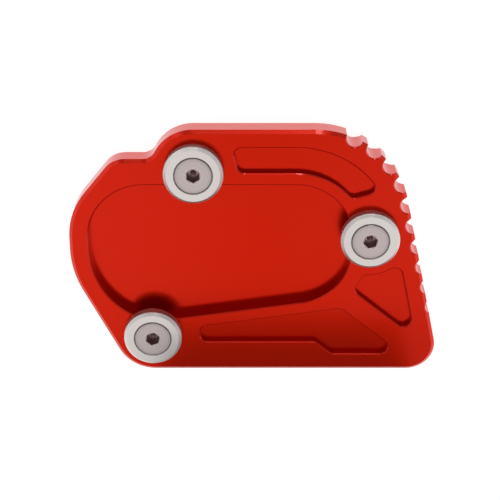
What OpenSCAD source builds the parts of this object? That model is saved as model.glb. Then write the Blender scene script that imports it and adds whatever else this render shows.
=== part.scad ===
// Side stand foot enlarger: a flat milled plate with a pocket for the stand's own foot,
// three discs that overlap the pocket's rim and hold the foot down, and a countersunk screw in each disc.
// Millimetres. +Z is up, out of the pocket. The plate lies flat on its underside at z = 0.

/* [Foot pocket] */
// Length of the pocket that takes the stand's foot
pocket_l = 83.75; // [80:0.25:90]
// Width of the pocket at its right-hand side
pocket_w = 38.7; // [36:0.5:42]
// Slope of the pocket's lower side, in degrees
pocket_slope = 8.1; // [7:0.1:10]
// Depth of the pocket
pocket_d = 4.5; // [3:0.1:5.5]
// Radius of the pocket's two upper corners
pocket_top_r = 18.3; // [16:0.1:20]
// Radius of its lower right corner
pocket_toe_r = 18.8; // [17:0.1:21]
// Radius of its large lower left corner
pocket_heel_r = 26.7; // [25:0.1:28]
// Length of the straight at the pocket's left-hand end
pocket_left_l = 3.9; // [2:0.1:5]
// Radius that turns the heel into the lower side, under the lower disc
pocket_turn_r = 14; // [10:0.1:15]
// Place of that turn's centre along the pocket
pocket_turn_x = 22; // [20:0.1:24]
// Bevel round the rims of the pocket and of the relief pockets
rim_bevel = 0.35; // [0.1:0.05:1]

/* [Plate] */
// Thickness of the plate
plate_t = 9; // [8:0.1:12]
// Wall left outside the pocket's round left end
rim = 5.95; // [4:0.05:8]
// How far the plate reaches past the pocket's right-hand side
toe_l = 27.85; // [26:0.05:32]
// Radius of the plate's lower right corner
toe_r = 9; // [6:0.1:12]
// Radius of the toothed upper right corner
crown_r = 30.5; // [28:0.1:34]
// How far that corner's centre lies inside the pocket's right-hand side
crown_in = 12.7; // [11:0.1:15]
// Height of the shoulder above the pocket's upper side
shoulder_h = 8.35; // [7.5:0.05:10]
// Distance of the shoulder corner's centre from the pocket's left-hand side
shoulder_x = 12.5; // [11:0.05:15]
// Radius of the shoulder's outer corner
shoulder_r = 8; // [6:0.1:10]
// Radius of the inside corner between the shoulder and the upper disc's boss
shoulder_fillet = 4.5; // [3:0.1:6]
// Bevel round the top edge
top_bevel = 1.05; // [0.5:0.05:1.6]
// Bevel round the underside
under_bevel = 1.9; // [1:0.1:3]

/* [Teeth] */
// Number of scallops cut in the right-hand edge
scallops = 10; // [6:1:10]
// Radius of a scallop
scallop_r = 2.7; // [2:0.1:3]
// Distance from one scallop to the next, along the edge
scallop_pitch = 7.37; // [6.8:0.01:7.5]
// Length of plain edge from the start of the round corner to the first scallop's centre
scallop_start = 12.8; // [11:0.1:14]
// Angle at which the row of scallops runs off the straight edge, in degrees
scallop_lean = 2.75; // [0:0.05:3.5]
// Bevel round a scallop's rim
scallop_bevel = 0.4; // [0.2:0.1:0.6]

/* [Relief pockets] */
// Depth of the three relief pockets
relief_d = 2.3; // [1:0.1:3]
// Width of the arched relief pocket along the top
arch_w = 8.4; // [7:0.1:10]
// Slope of that pocket's right-hand end, in degrees
arch_end_slope = 16.5; // [10:0.5:25]
// Rib left between the foot pocket and each relief pocket
rib = 3.9; // [3:0.1:5]
// Wall left between the long relief pocket and the plate's lower edge
edge_wall = 5.95; // [4.5:0.05:7]
// Wall left between the right relief pocket and the toothed edge, scallops aside
tooth_wall = 6.05; // [5:0.05:8]
// Rib left between the two lower relief pockets
brace = 7.3; // [5:0.05:9]
// Slope of that rib, in degrees
brace_slope = 39.5; // [37:0.1:43]
// Height of the right relief pocket's low point above the plate's lower edge
wedge_h = 15.9; // [14:0.05:17]
// Rib left between the foot pocket's lower right corner and the right relief pocket
wedge_rib = 5.3; // [4:0.05:6]
// Distance of the long relief pocket's left end from the foot pocket's left-hand side
long_x = 35.1; // [33:0.1:40]
// Height of the long relief pocket's step above the plate's lower edge
step_h = 10.4; // [9:0.05:11.2]
// Width of the long relief pocket's sloping leg
leg_w = 14.5; // [12:0.05:15]
// Radius left by the cutter in the relief pockets' corners
relief_r = 2.5; // [1:0.1:3]
// Radius of the long relief pocket's outward corner at the step
step_r = 1; // [0.5:0.1:2.5]
// Radius of the two corners at the long relief pocket's left end
long_end_r = 2.2; // [1:0.1:2.4]
// Radius of the arched relief pocket's outer right corner
arch_tip_r = 2.1; // [1:0.1:2.5]
// Land kept round the axes of the upper and the right disc
relief_clear = 13.5; // [12:0.1:14.5]
// Land kept between the right disc's axis and the end of the arched relief pocket
arch_clear = 14; // [13:0.1:15]

/* [Clamp discs] */
// Diameter of a clamp disc
disc_d = 18.6; // [18:0.1:20]
// Thickness of a clamp disc
disc_t = 4; // [3.8:0.1:5]
// Bevel round a disc's upper edge
disc_bevel = 0.9; // [0.4:0.1:1.2]
// Bevel round a disc's lower edge
disc_under_bevel = 0.3; // [0.1:0.1:0.6]
// Distance of the upper disc's axis from the pocket's rim
clamp_out = 4.55; // [4:0.05:5.5]
// Distance of the right disc's axis from the pocket's rim
clamp_out_right = 5.3; // [4.2:0.1:6]
// Distance of the lower disc's axis from the pocket's rim
clamp_out_low = 3.95; // [3.5:0.05:5.5]
// Place of the upper disc's axis along the pocket's upper side
upper_clamp_x = 33.75; // [32:0.05:37]
// Place of the right disc's axis below the pocket's upper side
right_clamp_y = 17.55; // [16:0.05:19]
// Bearing of the lower disc's axis, seen from the heel's centre
lower_clamp_bearing = 257; // [255:0.1:260]
// Plate left round the upper disc's axis
boss_r = 13.4; // [12:0.1:14]
// Plate left below the lower disc's axis
low_boss_h = 13.5; // [12:0.05:15]
// Radius of the plate's corner round the lower disc
low_boss_r = 13; // [12:0.1:14]
// How far that corner's centre lies to the right of the lower disc's axis
low_boss_x = 0.35; // [0:0.05:1]

/* [Clamp screws] */
// Nominal diameter of a clamp screw
screw_d = 6; // [5:0.5:6]
// Length of a clamp screw, countersunk head included
screw_l = 12; // [9:0.5:12.5]
// Diameter of the countersunk head
head_d = 11.6; // [11:0.1:12.4]
// Height of the straight rim above the head's cone
head_rim = 0.4; // [0.1:0.05:0.5]
// Bevel on the head's upper edge
head_bevel = 0.2; // [0.05:0.05:0.3]
// Width across the flats of the hexagon socket
hex_w = 4; // [3:0.5:4]
// Depth of the hexagon socket
hex_d = 3; // [1.5:0.1:3.2]
// Bevel round the socket's mouth
hex_bevel = 0.15; // [0.1:0.05:0.5]
// Bevel on the screw's tip
tip_bevel = 0.7; // [0.3:0.1:1]
// Clearance round the screw in a disc
screw_gap = 0.3; // [0.1:0.05:0.5]
// Clearance round the thread in the plate
thread_gap = 0.05; // [0:0.01:0.1]
// Bevel at the lower mouth of a tapped hole
tap_bevel = 0.5; // [0.2:0.1:1]

/* [Hidden] */
$fn = 96;
anodised_red = [0.72, 0.09, 0.03];
bare_aluminium = [0.82, 0.81, 0.79];
bright_steel = [0.70, 0.68, 0.67];
// How far a cutter runs past what it cuts
over = 0.5;
// How far an arc is drawn over its tangents, so that the two cross cleanly
lap = 0.001;
// Length by which neighbouring stretches of an outline overlap
share = 0.4;
// Distance by which two touching arcs are drawn apart, for a short straight between them
seam = 0.005;

// An outline is a belt round posts. A post is [x, y, r]: the belt turns left round it with r above
// zero, as at an outer corner, and right with r below zero, as at an inside corner. The belt runs
// anticlockwise, so the outward side of each stretch is on its right.
function unit(a) = [cos(a), sin(a)];
function turned(a) = a - 360 * floor(a / 360);
function centre(p) = [p[0], p[1]];
// Bearing of the outward side of the straight stretch from post p to post q
function side(p, q) =
    let (d = centre(q) - centre(p), lean = (p[2] - q[2]) / norm(d))
    atan2(d[1], d[0]) - acos(max(-1, min(1, lean)));
// Point where the belt touches post p on bearing a
function touch(p, a) = centre(p) + p[2] * unit(a);
// Bearings at which the belt leaves each post and meets it
function leaves(posts) =
    [for (i = [0 : len(posts) - 1]) side(posts[i], posts[(i + 1) % len(posts)])];
function meets(posts) =
    let (out = leaves(posts), n = len(posts)) [for (i = [0 : n - 1]) out[(i + n - 1) % n]];
// Angle through which the belt turns round a post, negative at an inside corner
function turn(p, a_in, a_out) =
    p[2] > 0 ? turned(a_out - a_in) : -turned(a_in - a_out);

// Point at distance d from point c whose shadow on bearing a is s, on the left or right of that bearing
function at_reach(c, d, a, s, hand) =
    let (n = unit(a), near = s - c * n, along = sqrt(d * d - near * near))
    c + n * near + hand * along * [-n[1], n[0]];
// Point at distance d1 from c1 and d2 from c2, on the left of the way from c1 to c2
function at_both(c1, d1, c2, d2) =
    let (gap = norm(c2 - c1), near = (gap * gap + d1 * d1 - d2 * d2) / (2 * gap), w = (c2 - c1) / gap)
    c1 + w * near + sqrt(d1 * d1 - near * near) * [-w[1], w[0]];
// Point whose shadow on bearing a is s and on bearing b is t
function meeting(a, s, b, t) =
    let (n = unit(a), m = unit(b), det = n[0] * m[1] - n[1] * m[0])
    [(s * m[1] - n[1] * t) / det, (n[0] * t - s * m[0]) / det];
function post(c, r) = [c[0], c[1], r];

// Foot pocket, measured from its upper left corner: x to the right, y up
// Height of the pocket's sloping lower side at x
function floor_y(x) = (x - pocket_l) * tan(pocket_slope) - pocket_w;
// Centre of a corner of radius r that rests on that side from within
function on_floor(x, r) = [x, floor_y(x) + r / cos(pocket_slope)];
toe_c = on_floor(pocket_l - pocket_toe_r, pocket_toe_r);
turn_c = on_floor(pocket_turn_x, pocket_turn_r);
heel_c = [pocket_heel_r, -pocket_top_r - pocket_left_l];
top_left_c = [pocket_top_r, -pocket_top_r];
top_right_c = [pocket_l - pocket_top_r, -pocket_top_r];
pocket_posts = [post(top_right_c, pocket_top_r), post(top_left_c, pocket_top_r),
                post(heel_c, pocket_heel_r), post(turn_c, pocket_turn_r), post(toe_c, pocket_toe_r)];

// Axes of the three clamps
upper_c = [upper_clamp_x, clamp_out];
right_c = [pocket_l + clamp_out_right, -right_clamp_y];
lower_c = heel_c + (pocket_heel_r + clamp_out_low) * unit(lower_clamp_bearing);

// Outline of the plate
plate_top = upper_c[1] + boss_r;
plate_bottom = lower_c[1] - low_boss_h;
plate_left = -rim;
plate_right = pocket_l + toe_l;
crown_c = [pocket_l - crown_in, plate_top - crown_r];
crown_post = post(crown_c, crown_r);
toe_post = [plate_right - toe_r, plate_bottom + toe_r, toe_r];
low_corner_c = [lower_c[0] + low_boss_x, plate_bottom + low_boss_r];
fillet_y = shoulder_h + shoulder_fillet;
fillet_c = at_reach(upper_c, boss_r + shoulder_fillet + seam, 90, fillet_y, 1);
plate_posts = [crown_post, post(upper_c, boss_r), post(fillet_c, -shoulder_fillet),
               [shoulder_x, shoulder_h - shoulder_r, shoulder_r],
               post(top_left_c, pocket_top_r + rim), post(heel_c, pocket_heel_r + rim),
               post(low_corner_c, low_boss_r), toe_post];
middle = [(plate_left + plate_right) / 2, (plate_top + plate_bottom) / 2];

// Bearing and place of the straight toothed edge
edge_side = side(toe_post, crown_post);
edge_at = centre(toe_post) * unit(edge_side) + toe_r;
// Centre of the scallop at distance s from the start of the round corner
crown_run = crown_r * (90 - edge_side) * PI / 180;
function scallop_point(s) =
    s < crown_run ? touch(crown_post, 90 - s / crown_r * 180 / PI)
                  : touch(crown_post, edge_side) + (s - crown_run) * unit(edge_side - 90 + scallop_lean);

// Arched relief pocket, along the top and round the pocket's upper right corner
land = relief_clear + seam;
arch_in = pocket_top_r + rib;
arch_out = arch_in + arch_w;
arch_base = rib + relief_r;
arch_crest = rib + arch_w - relief_r;
arch_end = 270 + arch_end_slope;
arch_end_at = right_c * unit(arch_end) - arch_clear;
arch_posts = [
    post(at_reach(top_right_c, arch_out - arch_tip_r + seam, arch_end, arch_end_at - arch_tip_r, 1), arch_tip_r),
    post(top_right_c, arch_out),
    post(at_reach(upper_c, land + relief_r, 90, arch_crest, -1), relief_r),
    post(upper_c, -relief_clear),
    post(at_reach(upper_c, land + relief_r, 90, arch_base, -1), relief_r),
    post(top_right_c, -arch_in),
    post(at_reach(top_right_c, arch_in + relief_r + seam, arch_end, arch_end_at - relief_r, 1), relief_r)];

// Bearing from the brace down to the left, and the two relief pockets that it parts
brace_side = 270 - brace_slope;
wedge_y = plate_bottom + wedge_h + relief_r;
wedge_shadow = edge_at - tooth_wall - relief_r;
wedge_low_c = [(wedge_shadow - wedge_y * sin(edge_side)) / cos(edge_side), wedge_y];
brace_at = wedge_low_c * unit(brace_side) + relief_r;
wedge_in = pocket_toe_r + wedge_rib;
wedge_posts = [
    post(wedge_low_c, relief_r),
    post(at_reach(right_c, land + relief_r, edge_side, wedge_shadow, -1), relief_r),
    post(right_c, -relief_clear),
    post(at_both(right_c, land + relief_r, toe_c, wedge_in + relief_r + seam), relief_r),
    post(toe_c, -wedge_in),
    post(at_reach(toe_c, wedge_in + relief_r + seam, brace_side, brace_at - relief_r, 1), relief_r)];

// Long stepped relief pocket below the foot pocket
long_base = plate_bottom + edge_wall;
long_step = plate_bottom + step_h;
long_left = long_x + long_end_r;
long_shadow = brace_at + brace + relief_r;
floor_side = 270 + pocket_slope;
// Place of the pocket's lower side and of a corner that keeps the rib below it
floor_shadow = toe_c * unit(floor_side) + pocket_toe_r;
long_roof = floor_shadow + rib + relief_r;
long_right_c = meeting(90, long_base + relief_r, brace_side, long_shadow);
leg_shadow = brace_at + brace + leg_w;
long_foot_c = meeting(90, long_base + relief_r, brace_side, leg_shadow - relief_r);
long_posts = [
    post(long_right_c, relief_r),
    post(meeting(floor_side, long_roof, brace_side, long_shadow), relief_r),
    post(meeting(floor_side, long_roof - relief_r + long_end_r, 180, -long_left), long_end_r),
    post([long_left, long_step + long_end_r], long_end_r),
    post(meeting(90, long_step - step_r, brace_side, leg_shadow + step_r), -step_r),
    post(long_foot_c, relief_r)];

// Sizes of the clamps that follow from the ones above
screw_r = screw_d / 2;
head_r = head_d / 2;
disc_r = disc_d / 2;
disc_hole_r = screw_r + screw_gap;
// The countersink is the head's own cone, carried up to the disc's face
sink_r = head_r + head_rim;
head_h = head_rim + head_r - screw_r;
hex_r = hex_w / 2 / cos(30);

// Flat area inside a belt
module belt_area(posts) {
    met = meets(posts);
    left = leaves(posts);
    difference() {
        union() {
            polygon([for (i = [0 : len(posts) - 1]) each [touch(posts[i], met[i]), touch(posts[i], left[i])]]);
            for (i = [0 : len(posts) - 1])
                if (posts[i][2] > 0) bow(posts[i], met[i], left[i]);
        }
        for (p = posts)
            if (p[2] < 0) translate(centre(p)) circle(r = lap - p[2]);
    }
}

// The part of a post's circle outside the arc's chord, and a little more
module bow(p, a_in, a_out) {
    far = p[2] / cos(turn(p, a_in, a_out) / 2);
    start = touch(p, a_in) - share * unit(a_in + 90);
    end = touch(p, a_out) + share * unit(a_out + 90);
    intersection() {
        translate(centre(p)) circle(r = p[2] + lap);
        polygon([start - share * unit(a_in), start + far * unit(a_in),
                 end + far * unit(a_out), end - share * unit(a_out)]);
    }
}

// A cutter with the given section swept along a belt: x is outward of the belt and y is up.
// The plate lies inside the belt with hand at 1, and outside it with hand at -1.
module belt_cut(posts, section, hand) {
    met = meets(posts);
    left = leaves(posts);
    for (i = [0 : len(posts) - 1]) {
        p = posts[i];
        q = posts[(i + 1) % len(posts)];
        run = norm(touch(q, left[i]) - touch(p, left[i]));
        before = p[2] * hand > 0 ? share : 0;
        after = q[2] * hand > 0 ? share : 0;
        bend = abs(turn(p, met[i], left[i]));
        more = p[2] * hand > 0 ? 0 : share / abs(p[2]) * 180 / PI;
        translate(touch(p, left[i])) rotate(left[i]) translate([0, run + after, 0])
            rotate([90, 0, 0]) linear_extrude(run + before + after) polygon(section);
        translate(centre(p)) rotate((p[2] > 0 ? met[i] : left[i] + 180) - more)
            rotate_extrude(angle = bend + 2 * more)
                polygon([for (s = section) [abs(p[2]) + lap + sign(p[2]) * s[0], s[1]]]);
    }
}

// Section that bevels a plate's outer edge by b, and one that bevels a pocket's rim by b
function edge_section(b) = [[-b - over, over], [over, -b - over], [over, over]];
function rim_section(b) = [[b + over, over], [-over, -b - over], [-over, over]];
function flipped(section) = [for (s = section) [s[0], -s[1]]];

module pocket_cut(posts, depth) {
    translate([0, 0, plate_t - depth]) linear_extrude(depth + over) belt_area(posts);
    translate([0, 0, plate_t]) belt_cut(posts, rim_section(rim_bevel), -1);
}

module scallop_cut() {
    translate([0, 0, -over]) cylinder(r = scallop_r, h = plate_t + 2 * over);
    translate([0, 0, plate_t - scallop_bevel])
        cylinder(r1 = scallop_r, r2 = scallop_r + scallop_bevel + over, h = scallop_bevel + over);
}

module tapped_hole_cut() {
    hole_r = screw_r + thread_gap;
    translate([0, 0, -over]) cylinder(r = hole_r, h = plate_t + 2 * over);
    translate([0, 0, -over]) cylinder(r1 = hole_r + tap_bevel + over, r2 = hole_r, h = tap_bevel + over);
}

module base_plate() {
    color(anodised_red) translate(-middle) difference() {
        linear_extrude(plate_t) belt_area(plate_posts);
        translate([0, 0, plate_t]) belt_cut(plate_posts, edge_section(top_bevel), 1);
        belt_cut(plate_posts, flipped(edge_section(under_bevel)), 1);
        pocket_cut(pocket_posts, pocket_d);
        pocket_cut(arch_posts, relief_d);
        pocket_cut(wedge_posts, relief_d);
        pocket_cut(long_posts, relief_d);
        for (i = [0 : scallops - 1])
            translate(scallop_point(scallop_start + i * scallop_pitch)) scallop_cut();
        for (c = [upper_c, right_c, lower_c]) translate(c) tapped_hole_cut();
    }
}

// A turned disc, countersunk for its screw
module clamp_disc() {
    rotate_extrude() polygon([
        [disc_hole_r, 0], [disc_r - disc_under_bevel, 0], [disc_r, disc_under_bevel],
        [disc_r, disc_t - disc_bevel], [disc_r - disc_bevel, disc_t],
        [sink_r, disc_t], [disc_hole_r, disc_t - sink_r + disc_hole_r]]);
}

// A countersunk screw with a hexagon socket, its head's top at z = 0
module clamp_screw() {
    difference() {
        rotate_extrude() polygon([
            [0, -screw_l], [screw_r - tip_bevel, -screw_l], [screw_r, tip_bevel - screw_l],
            [screw_r, -head_h], [head_r, -head_rim], [head_r, -head_bevel],
            [head_r - head_bevel, 0], [0, 0]]);
        translate([0, 0, -hex_d]) cylinder(r = hex_r, h = hex_d + over, $fn = 6);
        translate([0, 0, -hex_bevel])
            cylinder(r1 = hex_r - hex_bevel, r2 = hex_r + over, h = hex_bevel + over);
        translate([0, 0, -hex_d - hex_w / 4 * tan(30)]) cylinder(r1 = 0, r2 = hex_w / 2, h = hex_w / 2 * tan(30));
    }
}

module disc_at(c) {
    color(bare_aluminium) translate(c - middle) translate([0, 0, plate_t]) clamp_disc();
}

module screw_at(c, spin) {
    color(bright_steel) translate(c - middle) translate([0, 0, plate_t + disc_t]) rotate(spin) clamp_screw();
}

module clamp_disc_upper() { disc_at(upper_c); }
module clamp_disc_right() { disc_at(right_c); }
module clamp_disc_lower() { disc_at(lower_c); }
// Each screw stopped at its own angle when it was tightened
module clamp_screw_upper() { screw_at(upper_c, 30); }
module clamp_screw_right() { screw_at(right_c, 15); }
module clamp_screw_lower() { screw_at(lower_c, 20); }

base_plate();
clamp_disc_upper();
clamp_disc_right();
clamp_disc_lower();
clamp_screw_upper();
clamp_screw_right();
clamp_screw_lower();
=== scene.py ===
# %% [markdown]
# # Kickstand foot enlarger
# This is a milled, red anodised aluminium plate that spreads the load of a motorcycle's side stand on soft
# ground. The stand's own foot lies in the large pocket. Three turned discs, each held by a countersunk
# screw, reach over the pocket's rim. All seven pieces come from the CAD frame with their true shapes, so
# this script adds no geometry to them. It gives them their finishes, and the floor, the light and the
# camera of the photograph.

# %% [markdown]
# ## Load the CAD frame
# The pieces could be modelled again in Blender, but then they could drift from the imported sizes. Loading
# them keeps one source for every size.

# %% Load the pieces
import math

import bpy
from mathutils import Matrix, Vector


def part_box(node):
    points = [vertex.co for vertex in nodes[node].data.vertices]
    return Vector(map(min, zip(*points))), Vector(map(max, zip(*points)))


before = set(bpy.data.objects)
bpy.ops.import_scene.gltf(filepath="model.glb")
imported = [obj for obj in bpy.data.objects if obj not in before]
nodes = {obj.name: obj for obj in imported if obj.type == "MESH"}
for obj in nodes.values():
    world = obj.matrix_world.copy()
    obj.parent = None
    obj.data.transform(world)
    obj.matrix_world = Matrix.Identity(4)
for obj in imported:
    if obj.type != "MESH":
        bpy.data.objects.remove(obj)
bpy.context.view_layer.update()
scene = bpy.context.scene
MM = 0.001
print("pieces:", ", ".join(sorted(nodes)))


# %% [markdown]
# ## Three small helpers
# Colours are written as sRGB hex codes, as a picture editor shows them, and Blender wants linear numbers.
# Every finish is a tree of shader nodes. One function adds any node with its settings and links, so that
# each finish reads from top to bottom as a recipe.

# %% Helpers for colours and node trees
def linear(code):
    """An sRGB hex colour as Blender's linear one."""
    parts = [int(code[i : i + 2], 16) / 255 for i in (1, 3, 5)]
    return [c / 12.92 if c <= 0.04045 else ((c + 0.055) / 1.055) ** 2.4 for c in parts] + [1.0]


def empty_tree(owner):
    """The cleared node tree of a material or a world."""
    owner.use_nodes = True
    owner.node_tree.nodes.clear()
    return owner.node_tree


def node(tree, kind, inputs=(), **settings):
    """Adds a shader node, makes its settings, and sets its inputs to values or to other nodes' outputs."""
    made = tree.nodes.new(kind)
    for name, value in settings.items():
        setattr(made, name, value)
    for name, value in dict(inputs).items():
        if isinstance(value, bpy.types.NodeSocket):
            tree.links.new(value, made.inputs[name])
        else:
            made.inputs[name].default_value = value
    return made


print("mid grey #808080 is linear", round(linear("#808080")[0], 3))

# %% [markdown]
# ## Red anodised aluminium
# The plate is milled from aluminium and then anodised: an acid bath grows a thin, hard, clear layer of
# oxide, red dye soaks into its pores, and hot water seals it. To the eye that is a tinted metal under a
# weak glassy skin. Paint would hide the metal's sheen, so a plain red plastic look would be wrong. The
# Principled shader has both parts, a metal with a red base colour and a clear coat over it. The coat is
# weak on the faces, which the end mill leaves satin, and strong on the walls and bevels, which the side of
# the tool leaves smooth. That is why the walls shine pink where they mirror the white room.

# %% The cutter's grain
# The real tool marks are about 0.1 mm apart. They are drawn 0.25 mm apart, so that they show in the render.
GRAIN_WIDTH = 0.25 * MM
GRAIN_LENGTH = 1.6 * MM
GRAIN_HEIGHT = 0.1 * MM
GRAIN_STRENGTH = 0.03
anodised_red = bpy.data.materials.new("anodised_red")
tree = empty_tree(anodised_red)
coordinates = node(tree, "ShaderNodeTexCoord").outputs
grain_size = (GRAIN_WIDTH, GRAIN_LENGTH, GRAIN_LENGTH)
grain_place = node(tree, "ShaderNodeVectorMath", {
    0: coordinates["Object"], 1: [1 / side for side in grain_size]}, operation="MULTIPLY")
grain = node(tree, "ShaderNodeTexNoise", {"Vector": grain_place.outputs[0], "Scale": 1.0, "Detail": 3.0})
satin = node(tree, "ShaderNodeBump", {
    "Height": grain.outputs["Fac"], "Strength": GRAIN_STRENGTH, "Distance": GRAIN_HEIGHT})
print("grain:", GRAIN_WIDTH / MM, "by", GRAIN_LENGTH / MM, "mm")

# %% Dyed metal under its clear oxide
# A normal's Z is 1 on a level face, 0.7 on a bevel and 0 on a wall.
DYED_RED = "#d91e00"
DYED_ROUGHNESS = 0.30
OXIDE_ROUGHNESS, OXIDE_IOR = 0.12, 1.6
WALL_COAT, FACE_COAT = 0.72, 0.09
WALL_TO, FACE_FROM = 0.5, 0.85  # Z of the normals between which the coat thins
normal_z = node(tree, "ShaderNodeSeparateXYZ", {0: coordinates["Normal"]}).outputs["Z"]
level_share = node(tree, "ShaderNodeMath", {0: normal_z}, operation="ABSOLUTE").outputs[0]
oxide = node(tree, "ShaderNodeMapRange", {
    "Value": level_share, "From Min": WALL_TO, "From Max": FACE_FROM,
    "To Min": WALL_COAT, "To Max": FACE_COAT})
dyed_metal = node(tree, "ShaderNodeBsdfPrincipled", {
    "Base Color": linear(DYED_RED), "Metallic": 1.0, "Roughness": DYED_ROUGHNESS,
    "Normal": satin.outputs[0], "Coat Weight": oxide.outputs["Result"],
    "Coat Roughness": OXIDE_ROUGHNESS, "Coat IOR": OXIDE_IOR})
node(tree, "ShaderNodeOutputMaterial", {"Surface": dyed_metal.outputs[0]})


def dress(material, *names):
    """Gives a piece, or several, one material all over."""
    for name in names:
        mesh = nodes[name].data
        mesh.materials.clear()
        mesh.materials.append(material)
        print(name, "is", material.name)


dress(anodised_red, "base_plate")

# %% [markdown]
# ## Turned aluminium discs
# The discs are turned on a lathe from bar and left bare. A fine facing cut gives a bright, even, slightly
# satin face, and the bevel and the rim, cut by a coarser tool, are a little rougher. One metal does for all
# of it, and the direction of the surface tells the face from the rim.

# %% Bare turned aluminium
BARE_ALUMINIUM = "#e6dfdc"
FACE_ROUGHNESS, RIM_ROUGHNESS = 0.30, 0.42
RIM_TO, FLAT_FROM = 0.8, 0.95  # Z of the normals between which the two cuts meet
turned_aluminium = bpy.data.materials.new("turned_aluminium")
tree = empty_tree(turned_aluminium)
normal = node(tree, "ShaderNodeTexCoord").outputs["Normal"]
normal_z = node(tree, "ShaderNodeSeparateXYZ", {0: normal}).outputs["Z"]
cut = node(tree, "ShaderNodeMapRange", {
    "Value": normal_z, "From Min": RIM_TO, "From Max": FLAT_FROM,
    "To Min": RIM_ROUGHNESS, "To Max": FACE_ROUGHNESS})
bare_metal = node(tree, "ShaderNodeBsdfPrincipled", {
    "Base Color": linear(BARE_ALUMINIUM), "Metallic": 1.0, "Roughness": cut.outputs["Result"]})
node(tree, "ShaderNodeOutputMaterial", {"Surface": bare_metal.outputs[0]})
dress(turned_aluminium, "clamp_disc_upper", "clamp_disc_right", "clamp_disc_lower")

# %% [markdown]
# ## Steel screws
# A countersunk socket screw is forged cold from steel wire. Its head is faced afterwards, which leaves
# faint rings.
# On top of the steel's colour, a painted shadow darkens the ring at the head's edge, where it meets the
# disc, and a pinkish painted shade fills the socket. These could be more materials with their own faces,
# but the CAD mesh stays as it is. So the distance from the screw's axis and the depth below its head are
# worked out from the piece's own box, and they place the rings and the painted shade.

# %% Distance from the axis and depth below the head
SOCKET_ROUND = 2.4  # mm from the axis: just outside the corners of the 4 mm hexagon
SOCKET_SHADE_START, SOCKET_SHADE_FULL = -0.15, -0.5  # mm below the head's face, where the socket's painted shade fades in
TOP_MIDDLE = (0.5, 0.5, 1.0)  # as shares of the screw's box
lowest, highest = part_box("clamp_screw_upper")
screw_size = [side / MM for side in highest - lowest]
screw_steel = bpy.data.materials.new("screw_steel")
tree = empty_tree(screw_steel)
in_box = node(tree, "ShaderNodeTexCoord").outputs["Generated"]
share = node(tree, "ShaderNodeVectorMath", {0: in_box, 1: TOP_MIDDLE}, operation="SUBTRACT").outputs[0]
from_top = node(tree, "ShaderNodeVectorMath", {0: share, 1: screw_size}, operation="MULTIPLY").outputs[0]
depth = node(tree, "ShaderNodeSeparateXYZ", {0: from_top}).outputs["Z"]
sideways = node(tree, "ShaderNodeVectorMath", {0: from_top, 1: (1, 1, 0)}, operation="MULTIPLY").outputs[0]
radius = node(tree, "ShaderNodeVectorMath", {0: sideways}, operation="LENGTH").outputs["Value"]
print("screw:", [round(side, 2) for side in screw_size], "mm")

# %% Faced head, with painted shade at its edge and in its socket
# The real rings are finer. They are drawn 0.4 mm apart, so that they show in the render.
RING = 0.4
RING_DARK, RING_LIGHT = "#a99998", "#f0e2e1"
# Painted shade: the first colour is a greyer ring at the head's edge for the shadow in the gap to the disc,
# the second a pinkish colour for the shade down in the socket.
GAP_SHADE_COLOUR, SOCKET_SHADE_COLOUR = "#b5a9a9", "#b09292"
GAP_SHADE_START, GAP_SHADE_FULL = 5.1, 5.6  # mm from the axis: the painted shadow in the gap round the head's edge
STEEL_ROUGHNESS = 0.33
ring_place = node(tree, "ShaderNodeMath", {0: radius, 1: RING}, operation="DIVIDE").outputs[0]
rings = node(tree, "ShaderNodeTexNoise", {
    "W": ring_place, "Scale": 1.0, "Detail": 2.0}, noise_dimensions="1D")
faced = node(tree, "ShaderNodeMixRGB", {
    "Fac": rings.outputs["Fac"], "Color1": linear(RING_DARK), "Color2": linear(RING_LIGHT)}).outputs[0]
# Painted shadow: the ring at the head's edge is darkened.
gap_shade_mask = node(tree, "ShaderNodeMapRange", {"Value": radius, "From Min": GAP_SHADE_START, "From Max": GAP_SHADE_FULL})
head_and_gap_shade = node(tree, "ShaderNodeMixRGB", {
    "Fac": gap_shade_mask.outputs["Result"], "Color1": faced, "Color2": linear(GAP_SHADE_COLOUR)}).outputs[0]
# Painted shade: inside the hexagon and below the head's face, the socket is darkened and tinted pink.
inside = node(tree, "ShaderNodeMath", {0: radius, 1: SOCKET_ROUND}, operation="LESS_THAN").outputs[0]
sunk = node(tree, "ShaderNodeMapRange", {"Value": depth, "From Min": SOCKET_SHADE_START, "From Max": SOCKET_SHADE_FULL})
socket_shade_mask = node(tree, "ShaderNodeMath", {0: inside, 1: sunk.outputs["Result"]}, operation="MULTIPLY")
tint = node(tree, "ShaderNodeMixRGB", {
    "Fac": socket_shade_mask.outputs[0], "Color1": head_and_gap_shade, "Color2": linear(SOCKET_SHADE_COLOUR)}).outputs[0]
steel = node(tree, "ShaderNodeBsdfPrincipled", {
    "Base Color": tint, "Metallic": 1.0, "Roughness": STEEL_ROUGHNESS})
node(tree, "ShaderNodeOutputMaterial", {"Surface": steel.outputs[0]})
dress(screw_steel, "clamp_screw_upper", "clamp_screw_right", "clamp_screw_lower")

# %% [markdown]
# ## White floor
# The photograph has a pure white ground. More lamps on the floor would make it white, but would wash out
# the red as well. So the floor is a matt pale grey, which keeps the plate's soft shadow, and it adds a
# little light of its own where the camera or a mirroring metal looks at it.

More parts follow.
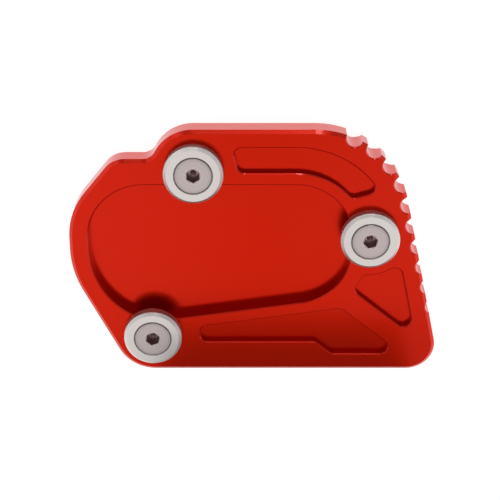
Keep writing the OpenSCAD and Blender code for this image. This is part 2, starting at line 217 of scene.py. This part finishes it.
# %% Floor
FLOOR_SIZE = 4.0
FLOOR_DROP = 0.02 * MM  # keeps the floor clear of the plate's underside
FLOOR_GREY, WHITE = "#a8a8a8", "#ffffff"
FLOOR_GLOW = 0.90
bpy.ops.mesh.primitive_plane_add(size=FLOOR_SIZE, location=(0, 0, -FLOOR_DROP))
floor = bpy.context.object
floor.name = "floor"
matt_floor = bpy.data.materials.new("matt_floor")
tree = empty_tree(matt_floor)
ray = node(tree, "ShaderNodeLightPath").outputs
seen = ray["Is Camera Ray"]
for kind in ("Is Glossy Ray", "Is Transmission Ray"):
    seen = node(tree, "ShaderNodeMath", {0: seen, 1: ray[kind]}, operation="MAXIMUM").outputs[0]
glow = node(tree, "ShaderNodeMath", {0: seen, 1: FLOOR_GLOW}, operation="MULTIPLY")
matt = node(tree, "ShaderNodeBsdfDiffuse", {"Color": linear(FLOOR_GREY)})
own_light = node(tree, "ShaderNodeEmission", {"Color": linear(WHITE), "Strength": glow.outputs[0]})
both = node(tree, "ShaderNodeAddShader", {0: matt.outputs[0], 1: own_light.outputs[0]})
node(tree, "ShaderNodeOutputMaterial", {"Surface": both.outputs[0]})
floor.data.materials.append(matt_floor)
print("floor:", FLOOR_SIZE, "m wide, glow", FLOOR_GLOW)

# %% [markdown]
# ## Studio light
# A satin metal shows the room more than its own colour. Each face of the plate mirrors one direction, so
# the light is made by direction: soft round patches on the world's sky, as softboxes far away would give.
# The flat faces mirror a direction 64 degrees up in front, the walls mirror the floor and the sky low
# behind, and the bevels mirror 25 degrees up behind. One small strong lamp makes the sparks on the bevels,
# and a few weak patches light the faces for someone who looks from another side. Area lamps could do the
# same, but patches on the sky light all three discs alike and need no placing round the part.

# %% A soft patch of light on the sky
world = bpy.data.worlds.new("studio")
scene.world = world
tree = empty_tree(world)
way = node(tree, "ShaderNodeTexCoord").outputs["Generated"]
SOFT_START, SOFT_END = 1.5, 0.5  # where a patch begins to shine and is full, as shares of its size


def softbox(azimuth, elevation, size):
    """1 in a round patch of sky and 0 outside it. Degrees: azimuth 0 is +X and 90 is +Y."""
    a, e = math.radians(azimuth), math.radians(elevation)
    middle = (math.cos(a) * math.cos(e), math.sin(a) * math.cos(e), math.sin(e))
    cosine = node(tree, "ShaderNodeVectorMath", {0: way, 1: middle}, operation="DOT_PRODUCT")
    angle = node(tree, "ShaderNodeMath", {0: cosine.outputs["Value"]}, operation="ARCCOSINE").outputs[0]
    patch = node(tree, "ShaderNodeMapRange", {
        "Value": angle, "From Min": math.radians(SOFT_START * size),
        "From Max": math.radians(SOFT_END * size)}, interpolation_type="SMOOTHSTEP")
    return patch.outputs["Result"]


print("a patch 9 degrees in size fades out", SOFT_START * 9, "degrees from its middle")

# %% Softboxes
# Each has an azimuth, an elevation and a size in degrees, and a level.
FILL = 0.22
FOR_FACES = [(-117, 64, 9, 1.13), (-60, 64, 9, 1.05), (-90, 64, 9, 0.45), (-90, 78, 9, 0.12)]
FOR_BEVELS = [(45, 25, 12, 0.25), (70, 25, 12, 0.15), (90, 25, 12, 0.2), (135, 25, 12, 0.30)]
FOR_WALLS = [(60, 6, 12, 0.25), (90, 6, 12, 0.9), (120, 6, 12, 1.5), (150, 6, 12, 0.45)]
FOR_SPARKS = [(83, 21, 2.2, 11)]
FROM_OTHER_SIDES = [
    (-45, 28, 16, 0.5), (-135, 28, 16, 0.5), (0, 38, 14, 0.5), (180, 38, 14, 0.5), (90, 46, 12, 0.4)]
SOFTBOXES = FOR_FACES + FOR_BEVELS + FOR_WALLS + FOR_SPARKS + FROM_OTHER_SIDES
sky = FILL
for azimuth, elevation, size, strength in SOFTBOXES:
    patch = softbox(azimuth, elevation, size)
    sky = node(tree, "ShaderNodeMath", {0: patch, 1: strength, 2: sky}, operation="MULTIPLY_ADD").outputs[0]
print(len(SOFTBOXES), "softboxes over a fill of", FILL)

# %% [markdown]
# ## White side walls
# The discs' bevels mirror what stands low at the left and the right. In a white studio that is white as
# well, and it keeps the discs bright to their edges. Round softboxes would leave gaps, so this is one low
# band of light on each side of the sky.

# %% White walls at both sides
# A direction's X is 0 ahead and 1 straight to the side, and its Z is 0 at the horizon and 1 overhead.
SIDE_WALLS = 0.9
ASIDE_START, ASIDE_FULL = 0.45, 0.75
TOP_END, TOP_FULL = 0.34, 0.10
direction = node(tree, "ShaderNodeSeparateXYZ", {0: way}).outputs
sideways = node(tree, "ShaderNodeMath", {0: direction["X"]}, operation="ABSOLUTE").outputs[0]
beside = node(tree, "ShaderNodeMapRange", {
    "Value": sideways, "From Min": ASIDE_START, "From Max": ASIDE_FULL}, interpolation_type="SMOOTHSTEP")
low = node(tree, "ShaderNodeMapRange", {
    "Value": direction["Z"], "From Min": TOP_END, "From Max": TOP_FULL}, interpolation_type="SMOOTHSTEP")
walls = node(tree, "ShaderNodeMath", {
    0: beside.outputs["Result"], 1: low.outputs["Result"]}, operation="MULTIPLY").outputs[0]
sky = node(tree, "ShaderNodeMath", {0: walls, 1: SIDE_WALLS, 2: sky}, operation="MULTIPLY_ADD").outputs[0]
backdrop = node(tree, "ShaderNodeBackground", {"Color": linear(WHITE), "Strength": sky})
node(tree, "ShaderNodeOutputWorld", {"Surface": backdrop.outputs[0]})
print("side walls at", SIDE_WALLS)

# %% [markdown]
# ## Grey card
# In the photograph the strip of the plate nearest the front edge is darker, with a soft border. It mirrors
# something dark that stands close in front. A photographer does this with a card on the table. The sky
# can't make that border, because it is too far away to darken one end of the plate and not the other. The
# card here is seen in mirroring metal alone, so it throws no shadow.

# %% Card
CARD_LEFT, CARD_RIGHT, CARD_Y, CARD_TOP = -35, 55, -58, 76  # mm
CARD_LEVEL = 0.33
bpy.ops.mesh.primitive_plane_add(size=1.0, rotation=(math.radians(90), 0, 0), location=(
    (CARD_LEFT + CARD_RIGHT) / 2 * MM, CARD_Y * MM, CARD_TOP / 2 * MM))
card = bpy.context.object
card.name = "grey_card"
card.scale = ((CARD_RIGHT - CARD_LEFT) * MM, CARD_TOP * MM, 1)
for kind in ("camera", "diffuse", "transmission", "volume_scatter", "shadow"):
    setattr(card, "visible_" + kind, False)
grey_card = bpy.data.materials.new("grey_card")
tree = empty_tree(grey_card)
dim = node(tree, "ShaderNodeEmission", {"Strength": CARD_LEVEL})
node(tree, "ShaderNodeOutputMaterial", {"Surface": dim.outputs[0]})
card.data.materials.append(grey_card)
print("card:", CARD_RIGHT - CARD_LEFT, "by", CARD_TOP, "mm, level", CARD_LEVEL)

# %% [markdown]
# ## Camera
# The plate lies flat and is seen from above and a little from behind. The camera's place, tilt and lens
# were fitted to the photograph's perspective: to the way the plate's straight edges run, and to how far
# each disc's face is shifted against the plate. Turning the view a little more or less by eye would move
# those shifts.

# %% Camera of the photograph
CAMERA_PLACE = (-1.575, 188.78, 413.9)  # mm
CAMERA_TILT = -24.8  # degrees about X
LENS, SENSOR = 101.3, 36.0  # mm
NEAREST, FARTHEST = 0.01, 10.0  # metres that the camera sees
cam = bpy.data.objects.new("camera", bpy.data.cameras.new("camera"))
scene.collection.objects.link(cam)
cam.location = [c * MM for c in CAMERA_PLACE]
cam.rotation_euler = (math.radians(CAMERA_TILT), 0, 0)
cam.data.sensor_width = SENSOR
cam.data.lens = LENS
cam.data.clip_start = NEAREST
cam.data.clip_end = FARTHEST
scene.camera = cam
scene.view_settings.view_transform = "Standard"
print("camera:", round(math.dist(CAMERA_PLACE, (0, 0, 0))), "mm from the middle of the plate")
